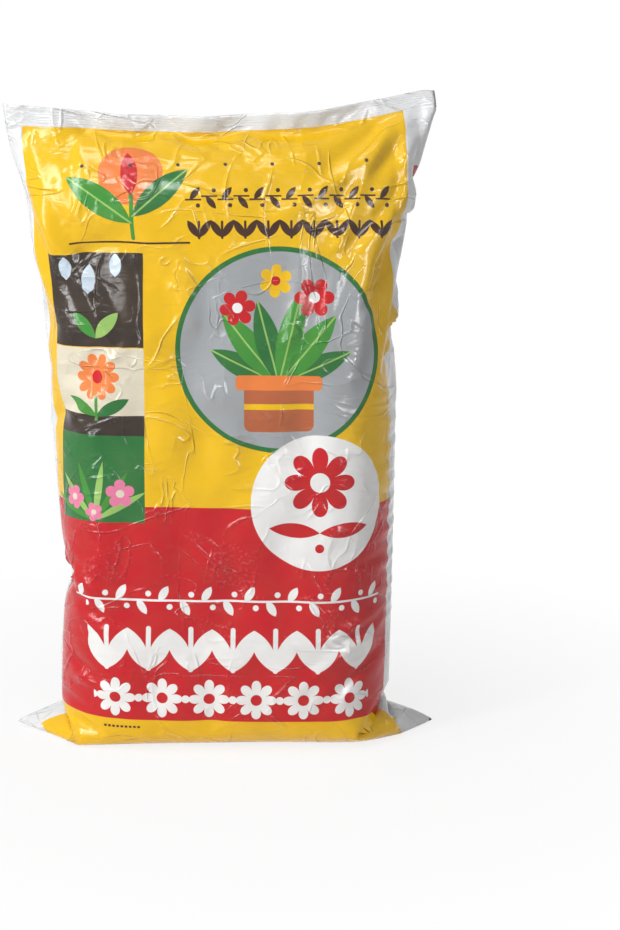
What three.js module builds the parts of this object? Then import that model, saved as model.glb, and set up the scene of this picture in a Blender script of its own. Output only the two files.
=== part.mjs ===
// A full 50 litre sack of growing medium, standing on its base. It is one tube of polyethylene film,
// welded flat across its two ends and packed with compost. Film and fill are one solid, because the
// sack is sealed. Millimetres, +Z up, the front faces -Y, and the origin is the middle of the base.
//
// Film bends but hardly stretches, so its ears, gathers and folds follow from its cut size. The tube
// starts flat, the compost presses it outwards, and the film is relaxed until it comes to rest.
import * as THREE from "three";

// The film tube as it is cut.
const flatWidth = 530; // laid flat, from crease to crease
const weldToWeld = 870; // film between the bottom weld and the top weld
const topFin = 22; // film left standing above the top weld
const weldThickness = 1; // both layers of film in a weld, with its ribs

// The packed fill, which stacking has pressed flat and which has slumped towards the foot.
const footDepth = 205; // front to back
const shoulderDepth = 160; // front to back, just under the head
const footHeight = 100;
const shoulderHeight = 600;
const fillHeight = 420; // the compost presses on the film up to here, beside the mound
const fillSlope = 0.1; // rise of that height to the right
const moundHeight = 120; // rise of that height at the middle
const moundHalfWidth = 200;
const pressureFade = 0.5; // exponent of the pressure's fade towards that height
const headPressure = 0.1; // at the middle of the head, as a share of the pressure at the base
const headHalfWidth = 240; // where the head's pressure has gone
const lumps = 3; // how far the compost stands out from a flat face, and in
const lumpLength = 55; // of the shortest lumps

// A knock in the left side, as a share of the pressure at the base.
const knock = 1.5;
const knockHeight = 215;
const knockReach = 30;
const knockEdge = 160; // where it begins, left of the middle

// The right ear hangs back from its own fold, which takes a small share of the same pressure.
const earPull = 0.12; // backwards
const earLift = 0.08;
const earEdge = 150; // where it begins, right of the middle
const earHeight = 550;

// How the film is relaxed. It comes to rest on a coarse grid, and then on one twice as fine, whose
// every other point makes the surface. `ripple` is an unevenness that settles which way it buckles.
const coarse = { columnsAcross: 32, rowsAlong: 52, rowsOnFin: 2 };
const coarseRest = { steps: 500, push: 0.2, bend: 0.01, weldBend: 0.05, lumps: 0 };
const fineRest = { steps: 330, push: 0.1, bend: 0.05, weldBend: 0.3, lumps };
const startRipple = 0.5;
const fineRipple = 5;
const startDepth = 60; // front to back, of the tube as it starts to fill
const passesPerStep = 4;
const drag = 0.97; // share of its speed that a point keeps
const floorGrip = 0.3; // share of its sliding speed that a point on the floor keeps

// How the film holds its shape: points a few columns and rows apart keep the distance that they have
// in the flat film. `tight` is how firmly when they are drawn apart, `slack` when they are pushed
// together. Alternate pairs are taken in turn, one in every so many columns and rows. The top weld is
// ribbed, so it bends less than loose film.
const weave = ({ bend, weldBend }) => [
  { step: [1, 0], every: [2, 1], tight: 1, slack: 1 },
  { step: [0, 1], every: [1, 2], tight: 1, slack: 1 },
  { step: [1, 1], every: [2, 2], tight: 0.5, slack: 0.5 },
  { step: [-1, 1], every: [2, 2], tight: 0.5, slack: 0.5 },
  { step: [2, 0], every: [4, 1], tight: 0, slack: bend },
  { step: [0, 2], every: [1, 4], tight: 0, slack: bend },
  { step: [2, 0], every: [4, 1], tight: 0, slack: weldBend, onlyWeld: true },
];

const ramp = (value, from, length) => THREE.MathUtils.clamp((value - from) / length, 0, 1);
const fraction = (value) => value - Math.floor(value);

// An uneven number from -1 to 1 for each point of the grid.
const unevenness = (column, row) => 2 * fraction(Math.sin(12.9898 * column + 78.233 * row) * 43758.5453) - 1;

// A smooth, uneven field between about -1 and 1.
function waves(x, z, shortest, seed) {
  let sum = 0;
  for (let wave = 0; wave < 9; wave++) {
    const angle = 2.4 * wave + seed;
    const length = shortest * (1 + 2 * fraction(0.618 * wave + 0.37 * seed));
    const across = x * Math.cos(angle) + z * Math.sin(angle);
    sum += Math.sin((2 * Math.PI * across) / length + 1.7 * wave * wave + seed);
  }
  return sum / 3;
}

// The film as a grid of points. Columns run once round the tube, from the left crease over the front
// to the right crease and back behind. Rows run up from the bottom weld.
class Film {
  constructor({ columnsAcross, rowsAlong, rowsOnFin }) {
    Object.assign(this, { columnsAcross, rowsAlong, rowsOnFin });
    this.columns = 2 * columnsAcross;
    this.rows = rowsAlong + rowsOnFin + 1;
    this.columnWidth = flatWidth / columnsAcross;
    this.points = Array.from({ length: this.columns * this.rows }, () => new THREE.Vector3());
  }

  indexOf(column, row) {
    return ((column + this.columns) % this.columns) * this.rows + row;
  }

  at(column, row) {
    return this.points[this.indexOf(column, row)];
  }

  // The point of the other layer that faces this one in the flat film.
  facing(column, row) {
    return this.at(this.columns - column, row);
  }

  isWelded(row) {
    return row === 0 || row >= this.rowsAlong;
  }

  // The film's length from a row to the one `count` rows above it.
  filmBetween(row, count) {
    let length = 0;
    for (let r = row; r < row + count; r++) {
      length += r < this.rowsAlong ? weldToWeld / this.rowsAlong : topFin / this.rowsOnFin;
    }
    return length;
  }

  forEachPoint(visit) {
    for (let column = 0; column < this.columns; column++) {
      for (let row = 0; row < this.rows; row++) visit(this.at(column, row), column, row);
    }
  }

  // Every front point but those of the creases, with the back point that faces it.
  forEachPair(firstRow, visit) {
    for (let column = 1; column < this.columnsAcross; column++) {
      for (let row = firstRow; row < this.rows; row++) {
        visit(this.at(column, row), this.facing(column, row), column, row);
      }
    }
  }

  // The flat tube, stood on its bottom weld and opened a little.
  layFlat() {
    this.forEachPoint((point, column, row) => {
      const across = Math.min(column, this.columns - column) / this.columnsAcross - 0.5;
      const height = this.filmBetween(0, row);
      const opening = Math.cos(Math.PI * across) * Math.sin(Math.PI * Math.min(height / weldToWeld, 1));
      const ripple = startRipple * Math.sin(0.9 * column + 0.7 * row);
      const depth = (startDepth / 2 + ripple) * opening;
      point.set(across * flatWidth, column > this.columnsAcross ? depth : -depth, height);
    });
    return this;
  }

  // Every pair of points that the weave holds, in the order in which they are taken.
  links(weave) {
    const links = [];
    for (const { step, every, tight, slack, onlyWeld } of weave) {
      const from = onlyWeld ? this.rowsAlong : 0;
      for (let firstColumn = 0; firstColumn < every[0]; firstColumn++) {
        for (let firstRow = from; firstRow < from + every[1]; firstRow++) {
          for (let row = firstRow; row + step[1] < this.rows; row += every[1]) {
            const rest = Math.hypot(step[0] * this.columnWidth, this.filmBetween(row, step[1]));
            for (let column = firstColumn; column < this.columns; column += every[0]) {
              const [a, b] = [this.at(column, row), this.at(column + step[0], row + step[1])];
              links.push({ a, b, rest, tight, slack });
            }
          }
        }
      }
    }
    return links;
  }

  // The film's outward normal at a point, as long as the film's share of area there.
  outward(column, row, normal = new THREE.Vector3()) {
    const [below, above] = [Math.max(row - 1, 0), Math.min(row + 1, this.rows - 1)];
    round.subVectors(this.at(column + 1, row), this.at(column - 1, row));
    up.subVectors(this.at(column, above), this.at(column, below));
    const area = 2 * this.columnWidth * this.filmBetween(below, above - below);
    return normal.crossVectors(round, up).divideScalar(area);
  }

  // Lets the compost fill the tube until the film is at rest on the floor.
  relax({ steps, push, bend, weldBend, lumps }) {
    const links = this.links(weave({ bend, weldBend }));
    const before = this.points.map((point) => point.clone());
    const speeds = this.points.map(() => new THREE.Vector3());
    const normal = new THREE.Vector3();
    for (let step = 0; step < steps; step++) {
      this.forEachPoint((point, column, row) => {
        const speed = speeds[this.indexOf(column, row)];
        const pressure = this.isWelded(row) ? 0 : pressureAt(point);
        speed.addScaledVector(this.outward(column, row, normal), push * pressure);
        const ear = ramp(point.x, earEdge, 80) * ramp(point.z, earHeight, 100);
        speed.y += push * earPull * ear;
        speed.z += push * earLift * ear;
      });
      this.points.forEach((point, at) => {
        before[at].copy(point);
        point.add(speeds[at].multiplyScalar(drag));
      });
      const halfDepths = this.points.map((point, at) => halfDepthAt(point, lumps, at < this.points.length / 2));
      for (let pass = 0; pass < passesPerStep; pass++) {
        for (const link of links) pull(link);
        this.holdShape(halfDepths);
      }
      this.standUpright();
      this.points.forEach((point, at) => {
        speeds[at].subVectors(point, before[at]);
        if (point.z < 1e-3) speeds[at].multiply(slidingShare);
      });
    }
    return this;
  }

  // The compost can't be pressed thicker than the pack. The layers share their points in a weld, and
  // elsewhere they don't pass through each other. Nothing sinks into the floor.
  holdShape(halfDepths) {
    this.points.forEach((point, at) => {
      point.y = THREE.MathUtils.clamp(point.y, -halfDepths[at], halfDepths[at]);
    });
    this.forEachPair(0, (front, back, column, row) => {
      if (this.isWelded(row)) {
        front.add(back).multiplyScalar(0.5);
        back.copy(front);
      } else {
        const overlap = Math.max(0, weldThickness - (back.y - front.y));
        front.y -= overlap / 2;
        back.y += overlap / 2;
      }
    });
    for (const point of this.points) point.z = Math.max(point.z, 0);
  }

  // Keeps both welds over the middle of the base, so that the sack neither leans nor slides.
  standUpright() {
    const height = Math.max(...this.points.map((point) => point.z));
    const middleOf = (row) => {
      const middle = new THREE.Vector3();
      for (let column = 0; column < this.columns; column++) middle.add(this.at(column, row));
      return middle.divideScalar(this.columns);
    };
    const [foot, head] = [middleOf(0), middleOf(this.rowsAlong)];
    for (const point of this.points) {
      const share = point.z / height;
      point.x -= THREE.MathUtils.lerp(foot.x, head.x, share);
      point.y -= head.y * share;
    }
  }

  // The same film on a grid twice as fine. New points are midpoints, bowed out a little round the tube.
  finer(ripple) {
    const { columnsAcross, rowsAlong, rowsOnFin } = this;
    const film = new Film({ columnsAcross: 2 * columnsAcross, rowsAlong: 2 * rowsAlong, rowsOnFin: 2 * rowsOnFin });
    this.forEachPoint((point, column, row) => {
      film.at(2 * column, 2 * row).copy(point);
      const [next, last] = [this.at(column + 1, row), this.at(column - 1, row)];
      const middle = film.at(2 * column + 1, 2 * row).addVectors(point, next).multiplyScalar(9);
      middle.sub(last).sub(this.at(column + 2, row)).divideScalar(16);
    });
    film.forEachPoint((point, column, row) => {
      if (row % 2) point.addVectors(film.at(column, row - 1), film.at(column, row + 1)).multiplyScalar(0.5);
    });
    const normals = film.points.map((_, at) => film.outward(Math.floor(at / film.rows), at % film.rows));
    film.forEachPoint((point, column, row) => {
      point.addScaledVector(normals[film.indexOf(column, row)], ripple * unevenness(column, row));
    });
    return film;
  }

  // The same film with every other point left out.
  coarser() {
    const { columnsAcross, rowsAlong, rowsOnFin } = this;
    const film = new Film({ columnsAcross: columnsAcross / 2, rowsAlong: rowsAlong / 2, rowsOnFin: rowsOnFin / 2 });
    film.forEachPoint((point, column, row) => point.copy(this.at(2 * column, 2 * row)));
    return film;
  }

  // Gives the welds, and the ears where the layers lie together, the thickness of the film.
  separateLayers() {
    const normals = this.points.map((_, at) => this.outward(Math.floor(at / this.rows), at % this.rows).normalize());
    this.forEachPair(1, (front, back, column, row) => {
      const normal = normals[this.indexOf(column, row)];
      const missing = Math.max(0, weldThickness - front.clone().sub(back).dot(normal));
      front.addScaledVector(normal, missing / 2);
      back.addScaledVector(normal, -missing / 2);
    });
    for (const point of this.points) point.z = Math.max(point.z, 0);
    return this;
  }
}

// Shared by every step, so that none of them makes new vectors.
const round = new THREE.Vector3();
const up = new THREE.Vector3();
const between = new THREE.Vector3();
const slidingShare = new THREE.Vector3(floorGrip, floorGrip, 1);

// Moves the two points of a link towards the distance that they have in the flat film, half of the
// way each.
function pull({ a, b, rest, tight, slack }) {
  between.subVectors(b, a);
  const length = between.length() + 1e-6;
  const stretch = (length - rest) / length;
  between.multiplyScalar(0.5 * stretch * (stretch > 0 ? tight : slack));
  a.add(between);
  b.sub(between);
}

function pressureAt({ x, z }) {
  const mound = moundHeight * Math.max(0, 1 - (x / moundHalfWidth) ** 2);
  const surface = fillHeight + fillSlope * x + mound;
  const head = headPressure * (1 - THREE.MathUtils.clamp(x / headHalfWidth, -1, 1) ** 2);
  const dent = Math.exp(-(((z - knockHeight) / knockReach) ** 2)) * ramp(-x, knockEdge, 40);
  return head + Math.max(0, 1 - z / surface) ** pressureFade - knock * dent;
}

// How far a point may stand out from the middle of the pack, with the lumps of the front or the back.
function halfDepthAt({ x, z }, lumps, isFront) {
  const slump = 1 - ramp(z, footHeight, shoulderHeight - footHeight);
  const half = THREE.MathUtils.lerp(shoulderDepth, footDepth, slump) / 2;
  return half + (lumps > 0 ? lumps * waves(x, z, lumpLength, isFront ? 3 : 8) : 0);
}

// The closed surface. The layers meet in the bottom weld's edge, and a narrow strip closes the fin.
// The diagonals that split its cells mirror each other about the middle, about half of the height and
// from front to back. All four ears then fold along them, and where two layers lie together, neither
// pokes through the other.
function sackGeometry() {
  const film = new Film(coarse).layFlat().relax(coarseRest).finer(fineRipple).relax(fineRest).coarser().separateLayers();
  const { columns, columnsAcross, rows } = film;
  const corner = (column, row) => {
    const shared = Math.min(column % columns, columns - (column % columns));
    return film.indexOf(row === 0 ? shared : column, row);
  };
  const faces = [];
  for (let column = 0; column < columns; column++) {
    for (let row = 0; row + 1 < rows; row++) {
      const [a, b] = [corner(column, row), corner(column + 1, row)];
      const [c, d] = [corner(column + 1, row + 1), corner(column, row + 1)];
      const isOddQuarter = Math.floor((2 * column) / columnsAcross) % 2 === 1;
      const isUpperHalf = 2 * row >= film.rowsAlong;
      faces.push(...(isOddQuarter === isUpperHalf ? [a, b, c, a, c, d] : [a, b, d, b, c, d]));
    }
  }
  const top = rows - 1;
  for (let column = 0; column < columnsAcross; column++) {
    const [a, b] = [film.indexOf(column, top), film.indexOf(column + 1, top)];
    const [c, d] = [film.indexOf(columns - column - 1, top), film.indexOf(columns - column, top)];
    if (b !== c) faces.push(a, b, c);
    if (a !== d) faces.push(a, c, d);
  }
  const geometry = new THREE.BufferGeometry();
  const places = film.points.flatMap((point) => point.toArray());
  geometry.setAttribute("position", new THREE.Float32BufferAttribute(places, 3));
  geometry.setIndex(faces);
  geometry.computeVertexNormals();
  return geometry;
}

const printedFilm = new THREE.MeshStandardMaterial({ color: 0xf2c22e, roughness: 0.3, metalness: 0 });
const filledBag = new THREE.Mesh(sackGeometry(), printedFilm);
filledBag.name = "filled_bag";

const compostBag = new THREE.Group();
compostBag.add(filledBag);
export default compostBag;
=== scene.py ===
"""A full 50 litre compost sack of printed polyethylene film, standing on its base."""
import math

import bpy
import numpy as np
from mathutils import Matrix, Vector


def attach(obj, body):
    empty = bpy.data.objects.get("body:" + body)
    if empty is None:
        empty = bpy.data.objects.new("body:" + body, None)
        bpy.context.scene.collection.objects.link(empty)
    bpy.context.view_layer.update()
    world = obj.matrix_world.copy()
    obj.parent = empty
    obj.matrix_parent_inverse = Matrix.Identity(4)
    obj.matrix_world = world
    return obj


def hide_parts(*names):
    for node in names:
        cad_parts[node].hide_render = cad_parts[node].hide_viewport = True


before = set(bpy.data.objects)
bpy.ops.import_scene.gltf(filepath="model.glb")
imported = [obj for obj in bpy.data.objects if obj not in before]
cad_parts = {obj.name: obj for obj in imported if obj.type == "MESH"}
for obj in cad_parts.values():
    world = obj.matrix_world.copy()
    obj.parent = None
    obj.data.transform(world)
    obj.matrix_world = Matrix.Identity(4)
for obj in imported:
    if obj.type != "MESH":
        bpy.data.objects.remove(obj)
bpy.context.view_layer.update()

# The film tube as it is cut, in metres.
FLAT_WIDTH = 0.530  # laid flat, from crease to crease
WELD_TO_WELD = 0.870
TOP_FIN = 0.022
WELD_THICKNESS = 0.0008

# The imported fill, which stacking has pressed flat and which has slumped towards the foot.
FOOT_DEPTH = 0.205
SHOULDER_DEPTH = 0.160
FOOT_HEIGHT = 0.100
SHOULDER_HEIGHT = 0.600
FILL_HEIGHT = 0.420
FILL_SLOPE = 0.1
MOUND_HEIGHT = 0.120
MOUND_HALF_WIDTH = 0.200
PRESSURE_FADE = 0.5
HEAD_PRESSURE = 0.10
HEAD_HALF_WIDTH = 0.240  # where the head's pressure has gone
LUMPS = 0.0030  # how far the compost stands out from a flat face, and in
LUMP_LENGTH = 0.055
LUMP_SEEDS = (3, 8)  # front and back, as in the solid model, so that both have the same lumps

# A knock in the left side, and the right ear's pull backwards. A pair says where an effect starts
# and over what length it sets in.
KNOCK = 1.5
KNOCK_HEIGHT = 0.215
KNOCK_REACH = 0.030
KNOCK_SIDE = (0.160, 0.04)
EAR_PULL = 0.12
EAR_LIFT = 0.08
EAR_SIDE = (0.150, 0.08)
EAR_FROM = (0.550, 0.1)

# How the film is relaxed, on three grids. Each is twice as fine as the one before.
FIRST_GRID = {"across": 32, "along": 52, "on_fin": 2}
PASSES_PER_STEP = 4
DRAG = 0.97
FLOOR_GRIP = 0.3
START_DEPTH = 0.060
START_RIPPLE = 0.0005
WAVES = 9
GRIDS = (
    {"steps": 500, "push": 2e-4, "bend": 0.01, "weld_bend": 0.05, "ripple": 0.0},
    {"steps": 330, "push": 3e-5, "bend": 0.05, "weld_bend": 0.30, "ripple": 0.0050},
    {"steps": 160, "push": 8e-6, "bend": 0.10, "weld_bend": 0.60, "ripple": 0.0007},
)


def ramp(value, start, length):
    return np.clip((value - start) / length, 0, 1)


def unevenness(column, row):
    """An uneven number from -1 to 1 for each point of a grid."""
    wild = np.sin(12.9898 * column + 78.233 * row) * 43758.5453
    return 2 * (wild - np.floor(wild)) - 1


def waves(x, z, shortest, seed):
    """A smooth, uneven field between about -1 and 1, whose finest waves are `shortest` metres long."""
    field = np.zeros(np.broadcast(x, z).shape)
    for wave in range(WAVES):
        angle = 2.4 * wave + seed
        length = shortest * (1 + 2 * ((0.618 * wave + 0.37 * seed) % 1))
        across = x * math.cos(angle) + z * math.sin(angle)
        field += np.sin(2 * math.pi * across / length + 1.7 * wave**2 + seed)
    return field / math.sqrt(WAVES)


def pull(a, b, rest, tight, slack):
    """Moves two sets of points towards the distance `rest`, half of the way each."""
    between = b - a
    length = np.sqrt(np.einsum("...k,...k->...", between, between)) + 1e-9
    stretch = (length - rest) / length
    stretch *= np.where(stretch > 0, 0.5 * tight, 0.5 * slack)
    between *= stretch[..., None]
    a += between
    b -= between


class Film:
    """The sack's film as a grid of points. Columns run once round the tube, from the left crease over
    the front to the right crease and back behind. Rows run up from the bottom weld."""

    def __init__(self, across, along, on_fin, points=None):
        self.across, self.along, self.on_fin = across, along, on_fin
        self.column = FLAT_WIDTH / across
        self.rows = np.array([WELD_TO_WELD / along] * along + [TOP_FIN / on_fin] * on_fin)
        self.up = np.concatenate([[0], np.cumsum(self.rows)])
        self.points = self.flat_tube() if points is None else points
        self.speeds = np.zeros_like(self.points)

    def flat_tube(self):
        column = np.arange(2 * self.across)
        row = np.arange(len(self.up))
        across = np.minimum(column, 2 * self.across - column) / self.across - 0.5
        opening = np.outer(np.cos(math.pi * across), np.sin(math.pi * np.minimum(self.up / WELD_TO_WELD, 1)))
        ripple = START_RIPPLE * np.sin(0.9 * column[:, None] + 0.7 * row[None, :])
        side = np.where(column > self.across, 1, -1)[:, None]
        points = np.zeros((len(column), len(row), 3))
        points[..., 0] = (across * FLAT_WIDTH)[:, None]
        points[..., 1] = side * (START_DEPTH / 2 + ripple) * opening
        points[..., 2] = self.up[None, :]
        return points

    def layers(self, rows=slice(None)):
        """The front's points and those that face them on the back, without the creases."""
        return self.points[1 : self.across, rows], self.points[: self.across : -1, rows]

    def neighbours_round(self, rows=slice(None)):
        points = self.points[:, rows]
        yield points[0::2], points[1::2]
        yield points[1:-1:2], points[2::2]
        yield points[-1:], points[:1]

    def hold(self, bend, weld_bend):
        """One pass over the film's own lengths."""
        points, rows = self.points, self.rows
        for a, b in self.neighbours_round():
            pull(a, b, self.column, 1, 1)
        pull(points[:, 0:-1:2], points[:, 1::2], rows[0::2], 1, 1)
        pull(points[:, 1:-1:2], points[:, 2::2], rows[1::2], 1, 1)
        diagonal = np.hypot(self.column, rows)
        count = len(rows)
        for first in (0, 1):
            last = count if (count - first) % 2 == 0 else count - 1
            lower, upper = slice(first, last, 2), slice(first + 1, last + 1, 2)
            pairs = zip(self.neighbours_round(lower), self.neighbours_round(upper))
            for (a_low, b_low), (a_high, b_high) in pairs:
                pull(a_low, b_high, diagonal[first:last:2], 0.5, 0.5)
                pull(b_low, a_high, diagonal[first:last:2], 0.5, 0.5)
        self.straighten_round(0, bend)
        self.straighten_up(bend)
        self.straighten_round(self.along, weld_bend)

    def straighten_round(self, first_row, bend):
        points = self.points[:, first_row:]
        for first in range(4):
            a = np.arange(first, len(points), 4)
            b = (a + 2) % len(points)
            start, end = points[a], points[b]
            pull(start, end, 2 * self.column, 0, bend)
            points[a], points[b] = start, end

    def straighten_up(self, bend):
        points = self.points
        for first in range(4):
            a = np.arange(first, len(self.up) - 2, 4)
            start, end = points[:, a], points[:, a + 2]
            pull(start, end, self.rows[a] + self.rows[a + 1], 0, bend)
            points[:, a], points[:, a + 2] = start, end

    def hold_shape(self, half_depths):
        """Keeps the film inside the pack, its welds shut, its layers apart and all of it off the floor."""
        points = self.points
        np.clip(points[..., 1], -half_depths[0], half_depths[1], out=points[..., 1])
        front, back = self.layers(slice(1, self.along))
        overlap = np.clip(WELD_THICKNESS - (back[..., 1] - front[..., 1]), 0, None) / 2
        front[..., 1] -= overlap
        back[..., 1] += overlap
        for rows in (slice(0, 1), slice(self.along, None)):
            front, back = self.layers(rows)
            middle = (front + back) / 2
            front[...] = middle
            back[...] = middle
        np.maximum(points[..., 2], 0, out=points[..., 2])

    def half_depths(self, lumps):
        """How far the film may stand out in front and behind."""
        x, z = self.points[..., 0], self.points[..., 2]
        slump = 1 - ramp(z, FOOT_HEIGHT, SHOULDER_HEIGHT - FOOT_HEIGHT)
        half = (SHOULDER_DEPTH + (FOOT_DEPTH - SHOULDER_DEPTH) * slump) / 2
        if not lumps:
            return half, half
        front, back = (half + lumps * waves(x, z, LUMP_LENGTH, seed) for seed in LUMP_SEEDS)
        return front, back

    def outward(self):
        """The film's outward normals, as long as each point's share of the area."""
        points = self.points
        round_ = np.roll(points, -1, 0) - np.roll(points, 1, 0)
        up = np.empty_like(points)
        up[:, 1:-1] = points[:, 2:] - points[:, :-2]
        up[:, 0] = 2 * (points[:, 1] - points[:, 0])
        up[:, -1] = 2 * (points[:, -1] - points[:, -2])
        return np.cross(round_, up) / (4 * self.column * self.rows.mean())

    def normals(self):
        """The film's outward normals, of length 1."""
        normals = self.outward()
        return normals / (np.linalg.norm(normals, axis=-1, keepdims=True) + 1e-12)

    def pressure(self):
        """The compost's push outwards, which fades up to its surface, and the head's little more."""
        x, z = self.points[..., 0], self.points[..., 2]
        mound = MOUND_HEIGHT * np.clip(1 - (x / MOUND_HALF_WIDTH) ** 2, 0, None)
        surface = FILL_HEIGHT + FILL_SLOPE * x + mound
        knock = np.exp(-(((z - KNOCK_HEIGHT) / KNOCK_REACH) ** 2)) * ramp(-x, *KNOCK_SIDE)
        head = HEAD_PRESSURE * (1 - np.clip(x / HEAD_HALF_WIDTH, -1, 1) ** 2)
        pressure = head + np.clip(1 - z / surface, 0, 1) ** PRESSURE_FADE - KNOCK * knock
        pressure[:, 0] = 0
        pressure[:, self.along :] = 0
        return pressure

    def relax(self, steps, bend, weld_bend, push, lumps):
        """Lets the film move under the pressure, and holds it to its own lengths."""
        for _ in range(steps):
            before = self.points.copy()
            self.speeds += self.outward() * (push * self.pressure())[..., None]
            ear = ramp(before[..., 0], *EAR_SIDE) * ramp(before[..., 2], *EAR_FROM)
            self.speeds[..., 1] += push * EAR_PULL * ear
            self.speeds[..., 2] += push * EAR_LIFT * ear
            self.speeds *= DRAG
            self.points += self.speeds
            half_depths = self.half_depths(lumps)
            for _ in range(PASSES_PER_STEP):
                self.hold(bend, weld_bend)
                self.hold_shape(half_depths)
            self.stand_upright()
            self.speeds = self.points - before
            self.speeds[self.points[..., 2] < 1e-6, :2] *= FLOOR_GRIP

    def stand_upright(self):
        """Keeps both welds over the middle of the base."""
        points = self.points
        share = points[..., 2] / points[..., 2].max()
        foot, head = points[:, 0].mean(0), points[:, self.along].mean(0)
        points[..., 0] -= head[0] * share + foot[0] * (1 - share)
        points[..., 1] -= head[1] * share

    def finer(self, ripple):
        """The same film on a grid twice as fine, with a little unevenness."""
        points = self.points
        after, before, beyond = np.roll(points, -1, 0), np.roll(points, 1, 0), np.roll(points, -2, 0)
        round_ = np.empty((2 * len(points),) + points.shape[1:])
        round_[0::2] = points
        round_[1::2] = (9 * (points + after) - before - beyond) / 16
        grid = np.empty((round_.shape[0], 2 * round_.shape[1] - 1, 3))
        grid[:, 0::2] = round_
        grid[:, 1::2] = (round_[:, 1:] + round_[:, :-1]) / 2
        film = Film(2 * self.across, 2 * self.along, 2 * self.on_fin, grid)
        column, row = np.indices(grid.shape[:2])
        film.points += film.outward() * (ripple * unevenness(column, row))[..., None]
        return film


def filled_film():
    """Lets the compost fill the tube until the film rests."""
    film = Film(**FIRST_GRID)
    grids = GRIDS
    for level, grid in enumerate(grids):
        if level:
            film = film.finer(grid["ripple"])
        film.relax(grid["steps"], grid["bend"], grid["weld_bend"], grid["push"], LUMPS if level else 0)
    return film


# Folds that handling has pressed into the front, in film millimetres: across from the middle and up
# from the bottom weld. (start, end, half width, height, bow, sharp). A valley has a negative height.
FOLDS = (
    ((-246, 806), (-128, 572), 11, 10.0, 4, True),
    ((-228, 806), (-170, 650), 5, 2.6, -14, True),
    ((-262, 800), (-196, 590), 11, 4.5, -9, False),
    ((-225, 850), (-205, 655), 8, 3.4, 6, False),
    ((-184, 866), (-176, 760), 9, -3.0, 3, False),
    ((236, 872), (60, 745), 12, 6.5, 10, False),
    ((246, 830), (128, 690), 9, -5.0, 7, False),
    ((214, 868), (120, 640), 8, 5.5, -12, True),
    ((224, 868), (226, 660), 7, 7.0, 0, True),
    ((244, 880), (238, 690), 6, -5.0, 3, True),
    ((92, 716), (66, 560), 8, 5.5, 6, True),
    ((142, 712), (98, 590), 8, -5.0, -6, True),
    ((178, 690), (150, 540), 10, 3.6, 8, False),
    ((-196, 304), (-70, 268), 8, 6.5, -6, True),
    ((-202, 284), (-110, 236), 8, -4.8, -6, True),
    ((-214, 200), (-150, 158), 8, -5.0, 5, True),
    ((-206, 172), (-120, 150), 9, 4.2, 4, False),
    ((222, 244), (84, 158), 8, 6.0, -10, True),
    ((224, 216), (108, 128), 9, -4.6, -8, False),
    ((226, 262), (120, 222), 8, 3.8, -6, False),
    ((218, 330), (140, 318), 8, -3.0, 4, False),
    ((-216, 520), (-150, 470), 10, 3.0, -4, False),
    ((-30, 330), (30, 268), 14, 3.6, 8, False),
    ((-110, 240), (-20, 214), 16, -3.4, 8, False),
)
FOLD_EASE = 1.15
TROUGH_REACH = 2.4
TROUGH_SHARE = 0.4

# Short level folds down the front's right edge, also in film millimetres.
SIDE_CRIMPS = 17
CRIMP_LOWEST, CRIMP_PITCH, CRIMP_SCATTER = 250, 17.5, 5
CRIMP_OUTER, CRIMP_INNER = 262, 228
CRIMP_REACH, CRIMP_REACH_SCATTER = 34, 16
CRIMP_LEAN, CRIMP_HALF_WIDTH, CRIMP_HEIGHT, CRIMP_BOW = 10, 4.5, 2.6, 3

# The left shoulder's edge, which is drawn smooth, and the ears, which are drawn out. In metres.
CALM_SIDE = (0.165, 0.045)
CALM_FROM = (0.52, 0.07)
CALM_PASSES = 260
EAR_WARP_SIDE = (0.10, 0.14)
EAR_WARP_EASE = 1.5
EAR_WARPS = (
    # side, middle height, reach, outwards, upwards, backwards
    (-1, 0.650, 0.070, 0.009, 0.0, 0.0),
    (-1, 0.740, 0.060, 0.003, 0.0, 0.0),
    (-1, 0.800, 0.045, -0.004, 0.006, 0.0),
    (1, 0.800, 0.075, -0.002, 0.014, 0.016),
)


def fold_field(film):
    """How far each point of the front is moved outwards by its folds, in metres."""
    column = np.arange(1, film.across)
    x = (column / film.across - 0.5)[:, None] * FLAT_WIDTH * 1000
    z = film.up[None, :] * 1000
    field = np.zeros((film.across - 1, len(film.up)))

    def press(start, end, half_width, height, bow, sharp):
        (x0, z0), (x1, z1) = start, end
        length = math.hypot(x1 - x0, z1 - z0)
        along = ((x - x0) * (x1 - x0) + (z - z0) * (z1 - z0)) / length**2
        arch = np.sin(math.pi * np.clip(along, 0, 1))
        off = np.abs(((x - x0) * (z1 - z0) - (z - z0) * (x1 - x0)) / length + bow * arch)
        tent = np.clip(1 - off / (2 * half_width), 0, 1) ** FOLD_EASE
        ridge = tent if sharp else np.exp(-((off / half_width) ** 2))
        trough = np.exp(-((off / (TROUGH_REACH * half_width)) ** 2))
        return height / 1000 * np.sqrt(arch) * (ridge - TROUGH_SHARE * trough)

    for fold in FOLDS:
        field += press(*fold)
    for crimp in range(SIDE_CRIMPS):
        up = CRIMP_LOWEST + CRIMP_PITCH * crimp + CRIMP_SCATTER * unevenness(crimp, 1)
        reach = CRIMP_REACH + CRIMP_REACH_SCATTER * unevenness(crimp, 2)
        start = (CRIMP_OUTER, up + CRIMP_LEAN * unevenness(crimp, 3))
        height = CRIMP_HEIGHT * (-1) ** crimp
        field += press(start, (CRIMP_INNER - reach, up), CRIMP_HALF_WIDTH, height, CRIMP_BOW, False)
    return field


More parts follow.
